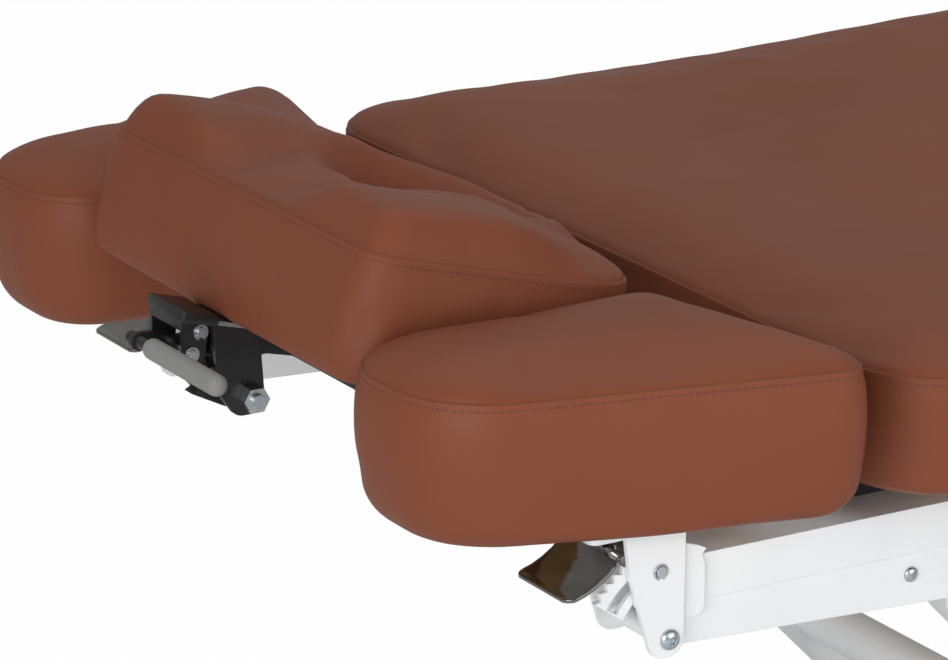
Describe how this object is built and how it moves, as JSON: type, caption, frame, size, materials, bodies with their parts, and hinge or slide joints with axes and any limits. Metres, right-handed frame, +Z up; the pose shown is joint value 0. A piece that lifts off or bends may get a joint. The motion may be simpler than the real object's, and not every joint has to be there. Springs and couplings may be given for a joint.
{
  "type": "electric massage table",
  "caption": "Padded treatment table with a tilting headrest with a face hole, swinging armrests and an electric parallelogram lift.",
  "frame": {"origin": "on the floor below the middle of the table's box", "axes": "+X to the foot end, +Y to the far side, +Z up"},
  "size_m": [1.9536, 0.8102, 0.8377],
  "materials": {
    "upholstery": "matte leatherette",
    "plywood": "sanded",
    "white_powder_coat": "fine powder coat",
    "black_powder_coat": "satin powder coat",
    "zinc_plate": "zinc plated",
    "chrome_lever": "polished",
    "soft_grip": "speckled foam",
    "rubber_foot": "moulded",
    "dark_plastic": "moulded",
    "bush_plastic": "turned",
    "drive_housing": "moulded",
    "bright_steel": "ground"
  },
  "bodies": {
    "base": {"base_rail_near": "white_powder_coat", "base_rail_far": "white_powder_coat", "base_cross_tubes": "white_powder_coat", "actuator_cross_tube": "white_powder_coat", "foot_pads": "rubber_foot", "foot_stems": "zinc_plate", "lower_shafts": "bright_steel", "control_box": "dark_plastic", "mains_inlet": "dark_plastic", "foot_switch_housing": "dark_plastic", "actuator_base_pin": "bright_steel"},
    "rear_arms": {"rear_lift_arms": "white_powder_coat", "rear_crank_plates": "white_powder_coat", "rear_crank_tube": "white_powder_coat", "rear_tie_tube": "white_powder_coat", "rear_arm_bushes": "bush_plastic", "actuator_crank_pin": "bright_steel"},
    "front_arms": {"front_lift_arms": "white_powder_coat", "front_tie_tube": "white_powder_coat", "front_arm_bushes": "bush_plastic"},
    "actuator": {"actuator_motor": "drive_housing", "actuator_outer_tube": "drive_housing"},
    "actuator_rod": {"actuator_rod": "bright_steel"},
    "top_frame": {"side_rail_near": "white_powder_coat", "side_rail_far": "white_powder_coat", "rail_end_caps": "dark_plastic", "head_cross_member": "black_powder_coat", "frame_cross_tubes": "white_powder_coat", "upper_shafts": "bright_steel", "main_board": "plywood", "main_cushion": "upholstery", "rail_screws": "zinc_plate", "carrier_arm": "black_powder_coat", "tilt_quadrant": "black_powder_coat", "tilt_bolt": "zinc_plate", "lock_sectors": "white_powder_coat", "armrest_pivot_bolts": "zinc_plate"},
    "headrest": {"headrest_cushion": "upholstery", "headrest_board": "plywood", "headrest_base_plate": "zinc_plate", "tilt_plates": "black_powder_coat", "lever_bracket": "black_powder_coat", "bracket_pins": "zinc_plate", "pin_clips": "zinc_plate"},
    "release_lever": {"release_lever": "black_powder_coat", "lever_grip": "soft_grip"},
    "near_armrest": {"near_armrest_cushion": "upholstery", "near_armrest_board": "plywood", "near_armrest_bracket": "white_powder_coat", "near_lock_pin": "zinc_plate"},
    "far_armrest": {"far_armrest_cushion": "upholstery", "far_armrest_board": "plywood", "far_armrest_bracket": "white_powder_coat", "far_lock_pin": "zinc_plate"},
    "near_paddle": {"near_release_paddle": "chrome_lever"},
    "far_paddle": {"far_release_paddle": "chrome_lever"},
    "pedal_up": {"pedal_up": "rubber_foot"},
    "pedal_down": {"pedal_down": "rubber_foot"}
  },
  "joints": [
    {"name": "lift_swing", "type": "hinge", "parent": "base", "child": "rear_arms", "pos_m": [0.56525, 0, 0.095], "axis": [0, 1, 0], "range_deg": [-30.87, 12.13]},
    {"name": "top_level", "type": "hinge", "parent": "rear_arms", "child": "top_frame", "pos_m": [0.13355, 0, 0.54001], "axis": [0, 1, 0], "range_deg": [-12.18, 30.92]},
    {"name": "front_arm_swing", "type": "hinge", "parent": "base", "child": "front_arms", "pos_m": [-0.03475, 0, 0.095], "axis": [0, 1, 0], "range_deg": [-30.92, 12.18]},
    {"name": "actuator_swing", "type": "hinge", "parent": "base", "child": "actuator", "pos_m": [0.34525, 0, 0.095], "axis": [0, 1, 0], "range_deg": [-15.49, 6.12]},
    {"name": "actuator_extension", "type": "slide", "parent": "actuator", "child": "actuator_rod", "axis": [0.7126, 0, 0.7015], "range_m": [-0.08948, 0.03528]},
    {"name": "headrest_tilt", "type": "hinge", "parent": "top_frame", "child": "headrest", "pos_m": [-0.90325, 0, 0.68501], "axis": [0, -1, 0], "range_deg": [0, 45]},
    {"name": "release_lever_press", "type": "hinge", "parent": "headrest", "child": "release_lever", "pos_m": [-0.94825, 0, 0.72301], "axis": [0, -1, 0], "range_deg": [0, 12], "stiffness_Nm_per_rad": 1, "springref_deg": -11.46},
    {"name": "near_armrest_swing", "type": "hinge", "parent": "top_frame", "child": "near_armrest", "pos_m": [-0.76925, -0.315, 0.58801], "axis": [0, -1, 0], "range_deg": [0, 45]},
    {"name": "far_armrest_swing", "type": "hinge", "parent": "top_frame", "child": "far_armrest", "pos_m": [-0.76925, 0.315, 0.58801], "axis": [0, -1, 0], "range_deg": [0, 45]},
    {"name": "near_paddle_pull", "type": "hinge", "parent": "near_armrest", "child": "near_paddle", "pos_m": [-0.77662, -0.308, 0.63615], "axis": [0, 1, 0], "range_deg": [0, 12], "stiffness_Nm_per_rad": 1, "springref_deg": -17.19},
    {"name": "far_paddle_pull", "type": "hinge", "parent": "far_armrest", "child": "far_paddle", "pos_m": [-0.77662, 0.308, 0.63615], "axis": [0, 1, 0], "range_deg": [0, 12], "stiffness_Nm_per_rad": 1, "springref_deg": -17.19},
    {"name": "pedal_up_press", "type": "hinge", "parent": "base", "child": "pedal_up", "pos_m": [0.16125, -0.284, 0.064], "axis": [1, 0, 0], "range_deg": [0, 4], "stiffness_Nm_per_rad": 2, "springref_deg": -5.73},
    {"name": "pedal_down_press", "type": "hinge", "parent": "base", "child": "pedal_down", "pos_m": [0.23875, -0.284, 0.064], "axis": [1, 0, 0], "range_deg": [0, 4], "stiffness_Nm_per_rad": 2, "springref_deg": -5.73}
  ],
  "couplings": [
    {"joint": "top_level", "follows": "lift_swing", "ratio": -1},
    {"joint": "front_arm_swing", "follows": "lift_swing", "ratio": 1},
    {"joint": "actuator_swing", "follows": "lift_swing", "ratio": 0.5},
    {"joint": "actuator_extension", "follows": "lift_swing", "m_per_rad": 0.1657}
  ]
}
